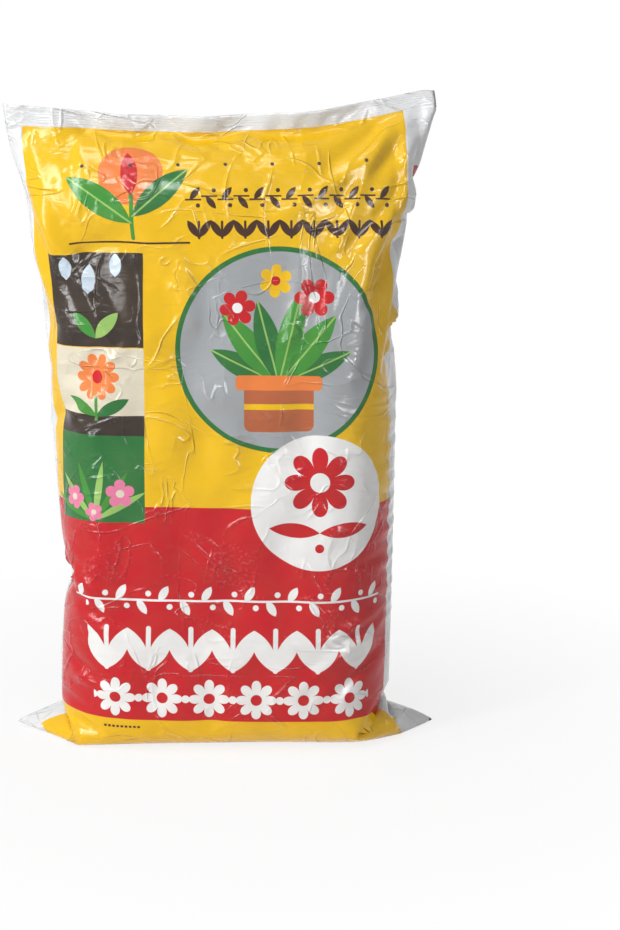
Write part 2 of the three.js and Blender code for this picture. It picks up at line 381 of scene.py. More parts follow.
def calm_shoulder(film):
    """Draws the fine puckers out of the left shoulder's edge, which hangs smooth from its ear."""
    x, z = film.points[..., 0], film.points[..., 2]
    share = (ramp(-x, *CALM_SIDE) * ramp(z, *CALM_FROM))[:, 1:-1, None]
    for _ in range(CALM_PASSES):
        middle = (film.points[:, :-2] + film.points[:, 2:]) / 2
        film.points[:, 1:-1] += 0.5 * share * (middle - film.points[:, 1:-1])


def press_folds(film):
    """Presses the folds into the front, and draws out the ears."""
    calm_shoulder(film)
    front = slice(1, film.across)
    film.points[front] += film.normals()[front] * fold_field(film)[..., None]
    x, z = film.points[..., 0].copy(), film.points[..., 2].copy()
    for side, height, reach, out, up, back in EAR_WARPS:
        share = np.exp(-(((z - height) / reach) ** 2)) * ramp(side * x, *EAR_WARP_SIDE) ** EAR_WARP_EASE
        film.points += share[..., None] * np.array([side * out, back, up])


def film_mesh(film):
    """The closed skin of the sack, with the film's own flat layout as its UV map."""
    points, across, rows = film.points, film.across, len(film.up)
    columns = 2 * across
    normal = film.normals()[1:across, 1:]
    front, back = points[1:across, 1:], points[: across : -1, 1:]
    missing = np.clip(WELD_THICKNESS - ((front - back) * normal).sum(-1), 0, None)[..., None] / 2
    front += normal * missing
    back -= normal * missing
    np.maximum(points[..., 2], 0, out=points[..., 2])

    def corner(column, row):
        column %= columns
        if row == 0:
            column = min(column, (columns - column) % columns)
        return column * rows + row

    faces, layout = [], []
    for column in range(columns):
        for row in range(rows - 1):
            quad = [(column, row), (column + 1, row), (column + 1, row + 1), (column, row + 1)]
            faces.append([corner(*place) for place in quad])
            layout.append([(c / columns, film.up[r] / film.up[-1]) for c, r in quad])
    top = rows - 1
    for column in range(across):
        ring = [(column, top), (column + 1, top), (columns - column - 1, top), (columns - column, top)]
        kept = []
        for place in ring:
            if corner(*place) not in [corner(*other) for other in kept]:
                kept.append(place)
        faces.append([corner(*place) for place in kept])
        layout.append([(column / columns, 1.0)] * len(kept))
    mesh = bpy.data.meshes.new("filled_bag_film")
    mesh.from_pydata(points.reshape(-1, 3).tolist(), [], faces)
    uv = mesh.uv_layers.new(name="film")
    flat = [value for place in (p for face in layout for p in face) for value in place]
    uv.data.foreach_set("uv", flat)
    mesh.polygons.foreach_set("use_smooth", [True] * len(faces))
    mesh.update()
    return mesh


class Graph:
    """Short names for making one node tree."""

    def __init__(self, tree):
        self.tree = tree

    def node(self, kind, inputs=(), **settings):
        made = self.tree.nodes.new(kind)
        for name, value in settings.items():
            setattr(made, name, value)
        pairs = inputs.items() if isinstance(inputs, dict) else enumerate(inputs)
        for name, value in pairs:
            if isinstance(value, bpy.types.NodeSocket):
                self.tree.links.new(value, made.inputs[name])
            elif value is not None:
                made.inputs[name].default_value = value
        return made

    def math(self, operation, *values):
        return self.node("ShaderNodeMath", values, operation=operation).outputs[0]

    def vector(self, operation, *values):
        made = self.node("ShaderNodeVectorMath", values, operation=operation)
        return made.outputs["Value" if operation in ("LENGTH", "DOT_PRODUCT") else "Vector"]

    def range(self, value, start, end, low=0.0, high=1.0):
        inputs = {"Value": value, "From Min": start, "From Max": end, "To Min": low, "To Max": high}
        return self.node("ShaderNodeMapRange", inputs).outputs["Result"]

    def mix(self, factor, a, b):
        made = self.node("ShaderNodeMix", data_type="RGBA")
        for name, value in (("Factor_Float", factor), ("A_Color", a), ("B_Color", b)):
            socket = next(s for s in made.inputs if s.identifier == name)
            if isinstance(value, bpy.types.NodeSocket):
                self.tree.links.new(value, socket)
            else:
                socket.default_value = value
        return next(s for s in made.outputs if s.identifier == "Result_Color")

    def group(self, tree, **inputs):
        made = self.tree.nodes.new("ShaderNodeGroup")
        made.node_tree = tree
        for name, value in inputs.items():
            socket = made.inputs[name.replace("_", " ").capitalize()]
            if isinstance(value, bpy.types.NodeSocket):
                self.tree.links.new(value, socket)
            else:
                socket.default_value = value
        return made


def shader_group(name, inputs, outputs):
    """A new node group with named sockets, and the Graph and ends to fill it with."""
    tree = bpy.data.node_groups.new(name, "ShaderNodeTree")
    for socket, value in inputs.items():
        kind = "NodeSocketVector" if isinstance(value, tuple) else "NodeSocketFloat"
        made = tree.interface.new_socket(socket, in_out="INPUT", socket_type=kind)
        made.default_value = value
    for socket, kind in outputs.items():
        tree.interface.new_socket(socket, in_out="OUTPUT", socket_type=kind)
    graph = Graph(tree)
    return graph, graph.node("NodeGroupInput").outputs, graph.node("NodeGroupOutput").inputs


def local_place(graph, given):
    """A place on the print, measured from a shape's middle and turned with it."""
    offset = graph.vector("SUBTRACT", given["Place"], given["Middle"])
    back = graph.math("MULTIPLY", given["Turn"], -1.0)
    inputs = {"Vector": offset, "Angle": back}
    turned = graph.node("ShaderNodeVectorRotate", inputs, rotation_type="Z_AXIS")
    split = graph.node("ShaderNodeSeparateXYZ", [turned.outputs[0]])
    return turned.outputs[0], split.outputs[0], split.outputs[1]


EDGE = 0.5  # millimetres over which an inked edge fades


def edge_mask(graph, distance):
    """1 inside a shape and 0 outside, from the distance to its outline."""
    return graph.range(distance, EDGE / 2, -EDGE / 2)


def panel_group():
    """A rectangle, or with a corner of half its size a disc."""
    inputs = {"Place": (0, 0, 0), "Middle": (0, 0, 0), "Turn": 0.0}
    inputs |= {"Width": 10.0, "Height": 10.0, "Corner": 0.0}
    graph, given, result = shader_group("Inked panel", inputs, {"Mask": "NodeSocketFloat"})
    _, x, y = local_place(graph, given)
    gaps = []
    for value, size in ((x, given["Width"]), (y, given["Height"])):
        inner = graph.math("SUBTRACT", graph.math("MULTIPLY", size, 0.5), given["Corner"])
        gaps.append(graph.math("SUBTRACT", graph.math("ABSOLUTE", value), inner))
    outside = [graph.math("MAXIMUM", gap, 0.0) for gap in gaps]
    round_ = graph.vector("LENGTH", graph.node("ShaderNodeCombineXYZ", outside).outputs[0])
    inside = graph.math("MINIMUM", graph.math("MAXIMUM", *gaps), 0.0)
    distance = graph.math("SUBTRACT", graph.math("ADD", round_, inside), given["Corner"])
    graph.tree.links.new(edge_mask(graph, distance), result["Mask"])
    return graph.tree


def leaf_group():
    """A leaf between two arcs, with a vein down its middle."""
    inputs = {"Place": (0, 0, 0), "Middle": (0, 0, 0), "Turn": 0.0, "Length": 20.0, "Width": 8.0}
    outputs = {"Mask": "NodeSocketFloat", "Vein": "NodeSocketFloat"}
    graph, given, result = shader_group("Inked leaf", inputs, outputs)
    _, x, y = local_place(graph, given)
    half_length = graph.math("MULTIPLY", given["Length"], 0.5)
    half_width = graph.math("MULTIPLY", given["Width"], 0.5)
    squares = graph.math("ADD", graph.math("POWER", half_length, 2.0), graph.math("POWER", half_width, 2.0))
    radius = graph.math("DIVIDE", squares, graph.math("MULTIPLY", half_width, 2.0))
    off = graph.math("ADD", graph.math("ABSOLUTE", x), graph.math("SUBTRACT", radius, half_width))
    reach = graph.vector("LENGTH", graph.node("ShaderNodeCombineXYZ", [off, y]).outputs[0])
    mask = edge_mask(graph, graph.math("SUBTRACT", reach, radius))
    vein_width = graph.math("MULTIPLY", given["Width"], 0.035)
    vein = edge_mask(graph, graph.math("SUBTRACT", graph.math("ABSOLUTE", x), vein_width))
    graph.tree.links.new(mask, result["Mask"])
    graph.tree.links.new(graph.math("MULTIPLY", mask, vein), result["Vein"])
    return graph.tree


def flower_group():
    """A flower of rounded petals. Waist says how far in its outline goes between them."""
    inputs = {"Place": (0, 0, 0), "Middle": (0, 0, 0), "Turn": 0.0}
    inputs |= {"Radius": 10.0, "Petals": 6.0, "Waist": 0.5}
    outputs = {"Mask": "NodeSocketFloat", "Heart": "NodeSocketFloat"}
    graph, given, result = shader_group("Inked flower", inputs, outputs)
    place, x, y = local_place(graph, given)
    reach = graph.vector("LENGTH", place)
    swing = graph.math("MULTIPLY", graph.math("ARCTAN2", y, x), graph.math("MULTIPLY", given["Petals"], 0.5))
    wave = graph.math("POWER", graph.math("ABSOLUTE", graph.math("COSINE", swing)), 0.5)
    inner = graph.math("SUBTRACT", 1.0, given["Waist"])
    outline = graph.math("MULTIPLY_ADD", wave, inner, given["Waist"])
    distance = graph.math("SUBTRACT", reach, graph.math("MULTIPLY", outline, given["Radius"]))
    heart = graph.math("SUBTRACT", reach, graph.math("MULTIPLY", given["Radius"], 0.28))
    graph.tree.links.new(edge_mask(graph, distance), result["Mask"])
    graph.tree.links.new(edge_mask(graph, heart), result["Heart"])
    return graph.tree


def row_group():
    """Repeats what is drawn in one cell, with every other cell mirrored top to bottom by Flip."""
    inputs = {"Place": (0, 0, 0), "Start": 0.0, "Height": 0.0, "Pitch": 20.0, "Count": 5.0, "Flip": 0.0}
    outputs = {"Place": "NodeSocketVector", "Inside": "NodeSocketFloat"}
    graph, given, result = shader_group("Print row", inputs, outputs)
    split = graph.node("ShaderNodeSeparateXYZ", [given["Place"]])
    along = graph.math("DIVIDE", graph.math("SUBTRACT", split.outputs[0], given["Start"]), given["Pitch"])
    cell = graph.math("FLOOR", along)
    x = graph.math("MULTIPLY", graph.math("SUBTRACT", graph.math("FRACT", along), 0.5), given["Pitch"])
    odd = graph.math("ABSOLUTE", graph.math("MODULO", cell, 2.0))
    turned = graph.math("MULTIPLY", graph.math("MULTIPLY", odd, given["Flip"]), -2.0)
    y = graph.math("SUBTRACT", split.outputs[1], given["Height"])
    y = graph.math("MULTIPLY", y, graph.math("ADD", turned, 1.0))
    first = graph.math("GREATER_THAN", cell, -0.5)
    last = graph.math("LESS_THAN", cell, graph.math("SUBTRACT", given["Count"], 0.5))
    graph.tree.links.new(graph.node("ShaderNodeCombineXYZ", [x, y]).outputs[0], result["Place"])
    graph.tree.links.new(graph.math("MULTIPLY", first, last), result["Inside"])
    return graph.tree


def crumple_group():
    """The fine relief of handled film: soft crimps, long sharp creases and flat facets between them."""
    inputs = {"Place": (0, 0, 0), "Crimps": 1.0, "Creases": 1.0, "Facets": 1.0}
    outputs = {"Height": "NodeSocketFloat", "Rubbed": "NodeSocketFloat"}
    graph, given, result = shader_group("Crumpled film", inputs, outputs)

    def noise(scale, detail, stretch=(1, 1, 1), distortion=0.0):
        place = graph.vector("MULTIPLY", given["Place"], stretch)
        inputs = {"Vector": place, "Scale": scale, "Detail": detail, "Distortion": distortion}
        return graph.node("ShaderNodeTexNoise", inputs, noise_dimensions="3D").outputs["Fac"]

    def ridge(value, width):
        away = graph.math("ABSOLUTE", graph.math("SUBTRACT", value, 0.5))
        near = graph.range(away, 0.0, width, 1.0, 0.0)
        return graph.math("MULTIPLY", near, near)

    wander = graph.node("ShaderNodeTexNoise", {"Vector": given["Place"], "Scale": 0.011, "Detail": 2.0})
    shift = graph.vector("SCALE", wander.outputs["Color"])
    shift.node.inputs["Scale"].default_value = 70.0
    inputs = {"Vector": graph.vector("ADD", given["Place"], shift), "Scale": 0.016}
    cells = graph.node("ShaderNodeTexVoronoi", inputs, feature="F1").outputs["Distance"]
    facets = graph.math("MULTIPLY", cells, graph.range(noise(0.007, 1.0), 0.42, 0.66, 0.25, 1.0))
    crimps = noise(0.05, 2.0, stretch=(0.4, 1.0, 1.0), distortion=0.6)
    upright = ridge(noise(0.011, 2.0, stretch=(1.0, 0.55, 1.0), distortion=1.2), 0.035)
    level = ridge(noise(0.013, 2.0, stretch=(0.5, 1.0, 1.0), distortion=1.0), 0.03)
    lines = graph.math("MAXIMUM", upright, level)
    creases = graph.math("MULTIPLY", lines, graph.range(noise(0.02, 1.0), 0.38, 0.6))
    height = graph.math("MULTIPLY", crimps, given["Crimps"])
    height = graph.math("MULTIPLY_ADD", creases, given["Creases"], height)
    height = graph.math("MULTIPLY_ADD", facets, given["Facets"], height)
    rubbed = graph.math("MULTIPLY", creases, graph.range(noise(0.25, 2.0), 0.5, 0.75))
    graph.tree.links.new(height, result["Height"])
    graph.tree.links.new(rubbed, result["Rubbed"])
    return graph.tree


WHITE_FILM = (0.76, 0.77, 0.785, 1)
YELLOW = (0.84, 0.50, 0.004, 1)
RED = (0.55, 0.004, 0.012, 1)
DARK_GREEN = (0.016, 0.16, 0.035, 1)
LEAF_GREEN = (0.045, 0.27, 0.035, 1)
PALE_GREEN = (0.30, 0.52, 0.13, 1)
ORANGE = (0.82, 0.22, 0.05, 1)
BROWN = (0.045, 0.013, 0.006, 1)
GREY = (0.36, 0.38, 0.40, 1)
SOIL = (0.030, 0.020, 0.016, 1)
CREAM = (0.72, 0.66, 0.52, 1)
TERRACOTTA = (0.46, 0.12, 0.045, 1)
PINK = (0.78, 0.20, 0.36, 1)
PALE_BLUE = (0.55, 0.66, 0.76, 1)
INK_WHITE = (0.84, 0.84, 0.83, 1)
VENT_DARK = (0.02, 0.018, 0.015, 1)
DUST = (0.25, 0.16, 0.05, 1)
MOST_DUST = 0.10
MOST_INK_RUBBED = 0.14
CRUMPLE = {"crimps": 1.4, "creases": 1.1, "facets": 3.2}
CRUMPLE_HEIGHT = 0.0012
ROUGHNESS = (0.13, 0.27)
GLOSS = 0.36
BACK_SHIFT = 700.0  # millimetres, so that the back is creased in its own way


class Print:
    """Lays inks on the film one over another. Places are in film millimetres: across from the middle of
    a face, and up from the bottom weld."""

    def __init__(self, graph, place):
        self.graph, self.place, self.colour = graph, place, WHITE_FILM
        makers = {"panel": panel_group, "leaf": leaf_group, "flower": flower_group, "row": row_group}
        self.groups = {name: make() for name, make in makers.items()}

    def lay(self, ink, mask, within=None):
        if within is not None:
            mask = self.graph.math("MULTIPLY", mask, within)
        self.colour = self.graph.mix(mask, self.colour, ink)

    def panel(self, ink, x, y, width, height, corner=0.0, place=None, within=None):
        values = {"place": place or self.place, "middle": (x, y, 0)}
        group = self.graph.group(self.groups["panel"], width=width, height=height, corner=corner, **values)
        self.lay(ink, group.outputs["Mask"], within)

    def disc(self, ink, x, y, radius, place=None, within=None):
        self.panel(ink, x, y, 2 * radius, 2 * radius, radius, place=place, within=within)

    def leaf(self, ink, x, y, length, width, turn, vein=None, place=None, within=None):
        """A leaf that grows from (x, y). Turn 0 grows straight up, and a positive turn leans left."""
        lean = math.radians(turn)
        middle = (x - math.sin(lean) * length / 2, y + math.cos(lean) * length / 2, 0)
        values = {"place": place or self.place, "middle": middle, "turn": lean}
        group = self.graph.group(self.groups["leaf"], length=length, width=width, **values)
        self.lay(ink, group.outputs["Mask"], within)
        if vein:
            self.lay(vein, group.outputs["Vein"], within)

    def flower(self, ink, heart, x, y, radius, petals, turn=0.0, waist=0.5, place=None, within=None):
        values = {"place": place or self.place, "middle": (x, y, 0), "turn": math.radians(turn)}
        group = self.graph.group(self.groups["flower"], radius=radius, petals=petals, waist=waist, **values)
        self.lay(ink, group.outputs["Mask"], within)
        self.lay(heart, group.outputs["Heart"], within)

    def row(self, start, height, pitch, count, flip=0.0):
        """The place inside one cell of a row, and where the row is."""
        values = {"place": self.place, "start": start, "height": height, "pitch": pitch}
        group = self.graph.group(self.groups["row"], count=count, flip=flip, **values)
        return group.outputs["Place"], group.outputs["Inside"]


def print_fields(ink):
    """The large fields of colour, which leave a white margin down each side."""
    middle, width = -8, 464
    ink.panel(YELLOW, middle, 451, width, 842)
    ink.panel(RED, middle, 258, width, 272)


def print_crest(ink):
    """A sun behind a sprout, at the top left."""
    x = -108
    ink.disc(ORANGE, x, 802, 38)
    ink.panel(LEAF_GREEN, x, 760, 5, 78, 2.5)
    ink.leaf(LEAF_GREEN, x, 742, 96, 31, 52, PALE_GREEN)
    ink.leaf(DARK_GREEN, x, 750, 88, 29, -50, PALE_GREEN)
    ink.leaf(RED, x, 776, 54, 20, 4)
    ink.panel(BROWN, x - 4, 718, 146, 2.4, 1.2)


def print_garland(ink):
    """Two rows of small leaves, beside the crest."""
    place, within = ink.row(-44, 771, 19, 13, flip=1)
    ink.panel(BROWN, 0, -2, 19.2, 2.0, place=place, within=within)
    ink.leaf(BROWN, -4, -2, 19, 7.5, -38, place=place, within=within)
    ink.disc(BROWN, 5.5, -9, 2.6, place=place, within=within)
    place, within = ink.row(-42, 735, 27.4, 9)
    for turn in (34, -34):
        ink.leaf(BROWN, 0, -11, 25, 9, turn, place=place, within=within)
    ink.panel(BROWN, 0, -2, 3.0, 22, 1.5, place=place, within=within)


def print_plant(ink):
    """A potted plant on the large grey disc."""
    x, y = 65, 588
    ink.disc(DARK_GREEN, x, y, 125)
    ink.disc(GREY, x, y, 119)
    leaves = (
        # turn, length, width, ink
        (64, 92, 28, DARK_GREEN),
        (-66, 96, 28, DARK_GREEN),
        (38, 112, 32, LEAF_GREEN),
        (-40, 108, 32, LEAF_GREEN),
        (14, 104, 30, DARK_GREEN),
        (-14, 116, 30, LEAF_GREEN),
    )
    for turn, length, width, green in leaves:
        ink.leaf(green, x, y - 40, length, width, turn, PALE_GREEN)
    ink.flower(RED, INK_WHITE, x - 49, y + 52, 22, 6, 10)
    ink.flower(RED, INK_WHITE, x + 43, y + 64, 24, 6)
    ink.flower(YELLOW, RED, x - 3, y + 84, 20, 6, 25)
    ink.panel(TERRACOTTA, x, y - 68, 84, 62, 9)
    ink.panel(ORANGE, x, y - 39, 104, 18, 5)
    ink.panel(YELLOW, x, y - 68, 84, 7)


def print_roundel(ink):
    """A white roundel with a red flower, over the edge of the red field."""
    x, y = 115, 401
    ink.disc(INK_WHITE, x, y, 84)
    ink.flower(RED, INK_WHITE, x, y + 26, 43, 8, 0, 0.42)
    for turn in (84, -84):
        ink.leaf(RED, x, y - 37, 62, 18, turn)
    ink.disc(RED, x, y - 56, 5.5)


def print_tiles(ink):
    """Three square tiles down the left side: rain on soil, an orange flower, and pink flowers."""
    middle, width = -157, 118
    ink.panel(SOIL, middle, 648, width, 114)
    for x, y, length in ((-193, 672, 30), (-164, 655, 36), (-132, 676, 28)):
        ink.leaf(PALE_BLUE, x, y, length, 15, 0)
        ink.disc(PALE_BLUE, x, y + 9, 6.6)
    ink.leaf(LEAF_GREEN, middle, 602, 42, 16, 42)
    ink.leaf(PALE_GREEN, middle, 602, 42, 16, -42)
    ink.panel(CREAM, middle, 536, width, 108)
    ink.panel(SOIL, middle, 494, width, 26)
    ink.panel(LEAF_GREEN, middle, 520, 4, 40)
    ink.leaf(LEAF_GREEN, middle, 506, 46, 15, 62)
    ink.leaf(DARK_GREEN, middle, 506, 46, 15, -62)
    ink.flower(ORANGE, RED, middle, 554, 29, 10, 0, 0.6)
    ink.panel(DARK_GREEN, middle, 428, width, 108)
    for turn in (70, 44, 18, -8, -34, -60):
        ink.leaf(LEAF_GREEN if turn % 4 else PALE_GREEN, -160, 376, 74, 9, turn)
    for x, y, radius, turn in ((-190, 402, 15, 0), (-128, 410, 18, 20), (-161, 386, 12, 40)):
        ink.flower(PINK, CREAM, x, y, radius, 5, turn)


def print_borders(ink):
    """Three white borders across the red field, and the small marks outside it."""
    place, within = ink.row(-194, 277, 26.4, 15, flip=1)
    ink.panel(INK_WHITE, 0, 0, 26.6, 2.6, place=place, within=within)
    ink.leaf(INK_WHITE, -6, -1, 22, 10, -30, place=place, within=within)
    ink.disc(INK_WHITE, 7, -8, 3.6, place=place, within=within)
    place, within = ink.row(-172, 217, 52, 7)
    for turn in (27, -27):
        ink.leaf(INK_WHITE, 0, -30, 62, 22, turn, place=place, within=within)
    ink.panel(INK_WHITE, 0, -2, 6, 58, 3, place=place, within=within)
    place, within = ink.row(-164, 151, 58, 6)
    ink.flower(INK_WHITE, RED, 0, 0, 25, 8, 0, 0.45, place=place, within=within)
    for x in (-29, 29):
        ink.disc(INK_WHITE, x, 0, 5, place=place, within=within)
    ink.panel(RED, 248, 800, 9, 13, 1)
    place, within = ink.row(-150, 112, 5.2, 9)
    ink.panel(BROWN, 0, 0, 3.4, 3.0, 0.6, place=place, within=within)


def film_material():
    """White polyethylene film with its inks, its handling creases and its gloss."""
    material = bpy.data.materials.new("printed_film")
    material.use_nodes = True
    graph = Graph(material.node_tree)
    shader = graph.tree.nodes["Principled BSDF"]
    layout = graph.node("ShaderNodeUVMap", uv_map="film").outputs["UV"]
    split = graph.node("ShaderNodeSeparateXYZ", [layout])
    turn = graph.math("FRACT", graph.math("MULTIPLY", split.outputs[0], 2.0))
    x = graph.math("MULTIPLY", graph.math("SUBTRACT", turn, 0.5), FLAT_WIDTH * 1000)
    y = graph.math("MULTIPLY", split.outputs[1], (WELD_TO_WELD + TOP_FIN) * 1000)
    back = graph.math("MULTIPLY", graph.math("GREATER_THAN", split.outputs[0], 0.5), BACK_SHIFT)
    place = graph.node("ShaderNodeCombineXYZ", [x, y]).outputs[0]
    texture_place = graph.node("ShaderNodeCombineXYZ", [x, y, back]).outputs[0]

    def noise(scale, detail):
        inputs = {"Vector": texture_place, "Scale": scale, "Detail": detail}
        return graph.node("ShaderNodeTexNoise", inputs).outputs["Fac"]

    ink = Print(graph, place)
    print_fields(ink)
    print_tiles(ink)
    print_plant(ink)
    print_roundel(ink)
    print_crest(ink)
    print_garland(ink)
    print_borders(ink)

    crumple = graph.group(crumple_group(), place=texture_place, **CRUMPLE)
    worn = graph.math("MULTIPLY", crumple.outputs["Rubbed"], MOST_INK_RUBBED)
    colour = graph.mix(worn, ink.colour, WHITE_FILM)
    colour = graph.mix(graph.range(noise(0.03, 2.0), 0.3, 0.8, 0.0, MOST_DUST), colour, DUST)
    graph.tree.links.new(colour, shader.inputs["Base Color"])
    smear = graph.range(noise(0.06, 3.0), 0.3, 0.75, *ROUGHNESS)
    graph.tree.links.new(smear, shader.inputs["Roughness"])
    shader.inputs["IOR"].default_value = 1.5
    shader.inputs["Specular IOR Level"].default_value = GLOSS
    inputs = {"Height": crumple.outputs["Height"], "Distance": CRUMPLE_HEIGHT, "Strength": 1.0}
    bump = graph.node("ShaderNodeBump", inputs)
    graph.tree.links.new(bump.outputs["Normal"], shader.inputs["Normal"])
    return material


def plain_material(name, colour, roughness):
    """A small moulded or cut surface with a slight unevenness."""
    material = bpy.data.materials.new(name)
    material.use_nodes = True
    graph = Graph(material.node_tree)
    shader = graph.tree.nodes["Principled BSDF"]
    place = graph.node("ShaderNodeTexCoord").outputs["Object"]
    inputs = {"Vector": place, "Scale": 900.0, "Detail": 2.0}
    speckle = graph.node("ShaderNodeTexNoise", inputs).outputs["Fac"]
    darker = tuple(0.8 * value for value in colour[:3]) + (1,)
    graph.tree.links.new(graph.mix(speckle, colour, darker), shader.inputs["Base Color"])
    uneven = graph.range(speckle, 0.3, 0.7, roughness - 0.05, roughness + 0.1)
    graph.tree.links.new(uneven, shader.inputs["Roughness"])
    return material


class Grow(Graph):
    """Short names for making one Geometry Nodes tree with named inputs."""

    def __init__(self, name, inputs):
        tree = bpy.data.node_groups.new(name, "GeometryNodeTree")
        super().__init__(tree)
        tree.interface.new_socket("Geometry", in_out="INPUT", socket_type="NodeSocketGeometry")
        tree.interface.new_socket("Geometry", in_out="OUTPUT", socket_type="NodeSocketGeometry")
        kinds = {int: "NodeSocketInt", float: "NodeSocketFloat", bpy.types.Material: "NodeSocketMaterial"}
        for socket, value in inputs.items():
            made = tree.interface.new_socket(socket, in_out="INPUT", socket_type=kinds[type(value)])
            made.default_value = value
        self.given = self.node("NodeGroupInput").outputs

    def on_film(self, layout, value_name):
        """The film's position or normal at a place of its flat layout."""
        kinds = {"position": "GeometryNodeInputPosition", "normal": "GeometryNodeInputNormal"}
        value = self.node(kinds[value_name]).outputs[0]
        named = self.node("GeometryNodeInputNamedAttribute", {"Name": "film"}, data_type="FLOAT_VECTOR")
        made = self.node("GeometryNodeSampleUVSurface", data_type="FLOAT_VECTOR")
        links = ((self.given["Geometry"], "Mesh"), (value, "Value"), (named.outputs[0], "Source UV Map"))
        for source, name in links + ((layout, "Sample UV"),):
            names = (name, name.replace("Source ", ""))
            socket = next(s for s in made.inputs if s.enabled and s.name in names)
            self.tree.links.new(source, socket)
        return made.outputs["Value"]

    def finished(self, geometry, material):
        real = self.node("GeometryNodeRealizeInstances", [geometry]).outputs[0]
        shaded = self.node("GeometryNodeSetMaterial", {"Geometry": real, "Material": material}).outputs[0]
        self.node("NodeGroupOutput", [shaded])
        return self.tree


RIB_START, RIB_END = 0.004, 0.496  # across a face, as shares of the film's flat layout
RIB_POINTS = 420


def grown_piece(name, film_mesh_data, tree):
    """The plain mesh that a Geometry Nodes tree grows on the film."""
    source = bpy.data.objects.new(name + "_source", film_mesh_data)
    bpy.context.scene.collection.objects.link(source)
    modifier = source.modifiers.new("grow", "NODES")
    modifier.node_group = tree
    bpy.context.view_layer.update()
    grown = source.evaluated_get(bpy.context.evaluated_depsgraph_get())
    mesh = bpy.data.meshes.new_from_object(grown)
    mesh.name = name
    bpy.data.objects.remove(source)
    piece = bpy.data.objects.new(name, mesh)
    bpy.context.scene.collection.objects.link(piece)
    return piece


def vent_tree(dark_material):
    """A row of punched vents near the top of the front."""
    sizes = {
        "Count": 7,
        "Radius": 0.0022,
        "Depth": 0.0005,
        "First": 0.095,  # this and the next two are shares of the film's flat layout
        "Pitch": 0.053,
        "Height": 0.911,
        "Material": dark_material,
    }
    grow = Grow("Punched vents", sizes)
    given = grow.given
    line = grow.node("GeometryNodeMeshLine", {"Count": given["Count"]})
    step = grow.node("ShaderNodeCombineXYZ", [given["Pitch"]]).outputs[0]
    start = grow.node("ShaderNodeCombineXYZ", [given["First"], given["Height"]]).outputs[0]
    grow.tree.links.new(start, line.inputs["Start Location"])
    grow.tree.links.new(step, line.inputs["Offset"])
    layout = grow.node("GeometryNodeInputPosition").outputs[0]
    place, normal = grow.on_film(layout, "position"), grow.on_film(layout, "normal")
    dots = grow.node("GeometryNodeMeshToPoints", {"Mesh": line.outputs[0]}).outputs[0]
    inputs = {"Geometry": dots, "Name": "way", "Value": normal}
    kept = grow.node("GeometryNodeStoreNamedAttribute", inputs, data_type="FLOAT_VECTOR", domain="POINT")
    inputs = {"Geometry": kept.outputs[0], "Position": place}
    moved = grow.node("GeometryNodeSetPosition", inputs).outputs[0]
    way = grow.node("GeometryNodeInputNamedAttribute", {"Name": "way"}, data_type="FLOAT_VECTOR")
    turned = grow.node("FunctionNodeAlignRotationToVector", {"Vector": way.outputs[0]}, axis="Z").outputs[0]
    inputs = {"Vertices": 18, "Radius": given["Radius"], "Depth": given["Depth"]}
    hole = grow.node("GeometryNodeMeshCylinder", inputs).outputs[0]
    inputs = {"Points": moved, "Instance": hole, "Rotation": turned}
    placed = grow.node("GeometryNodeInstanceOnPoints", inputs).outputs[0]
    return grow.finished(placed, given["Material"])


def weld_tree(film):
    """Fine ribs along the weld, pressed by the bars that sealed it, on both sides of the fin."""
    sizes = {
        "Ribs": 6,
        "Rib radius": 0.00035,
        "Lowest": 0.9785,  # this and the next are shares of the film's flat layout
        "Spacing": 0.0033,
        "Material": film,
    }
    grow = Grow("Weld ribs", sizes)
    given = grow.given
    inputs = {"Start": (RIB_START, 0, 0), "End": (RIB_END, 0, 0)}
    line = grow.node("GeometryNodeCurvePrimitiveLine", inputs).outputs[0]
    line = grow.node("GeometryNodeResampleCurve", {"Curve": line, "Count": RIB_POINTS}).outputs[0]
    both = grow.math("MULTIPLY", given["Ribs"], 2.0)
    copies = grow.node("GeometryNodeDuplicateElements", {"Geometry": line, "Amount": both}, domain="SPLINE")
    side = grow.math("MODULO", copies.outputs[1], 2.0)
    level = grow.math("FLOOR", grow.math("MULTIPLY", copies.outputs[1], 0.5))
    along = grow.node("ShaderNodeSeparateXYZ", [grow.node("GeometryNodeInputPosition").outputs[0]]).outputs[0]
    across = grow.math("MULTIPLY_ADD", side, 0.5, along)
    height = grow.math("MULTIPLY_ADD", level, given["Spacing"], given["Lowest"])
    layout = grow.node("ShaderNodeCombineXYZ", [across, height]).outputs[0]
    inputs = {"Geometry": copies.outputs[0], "Position": grow.on_film(layout, "position")}
    moved = grow.node("GeometryNodeSetPosition", inputs).outputs[0]
    inputs = {"Resolution": 5, "Radius": given["Rib radius"]}
    profile = grow.node("GeometryNodeCurvePrimitiveCircle", inputs).outputs[0]
    inputs = {"Curve": moved, "Profile Curve": profile, "Fill Caps": True}
    ribs = grow.node("GeometryNodeCurveToMesh", inputs).outputs[0]
    return grow.finished(ribs, given["Material"])


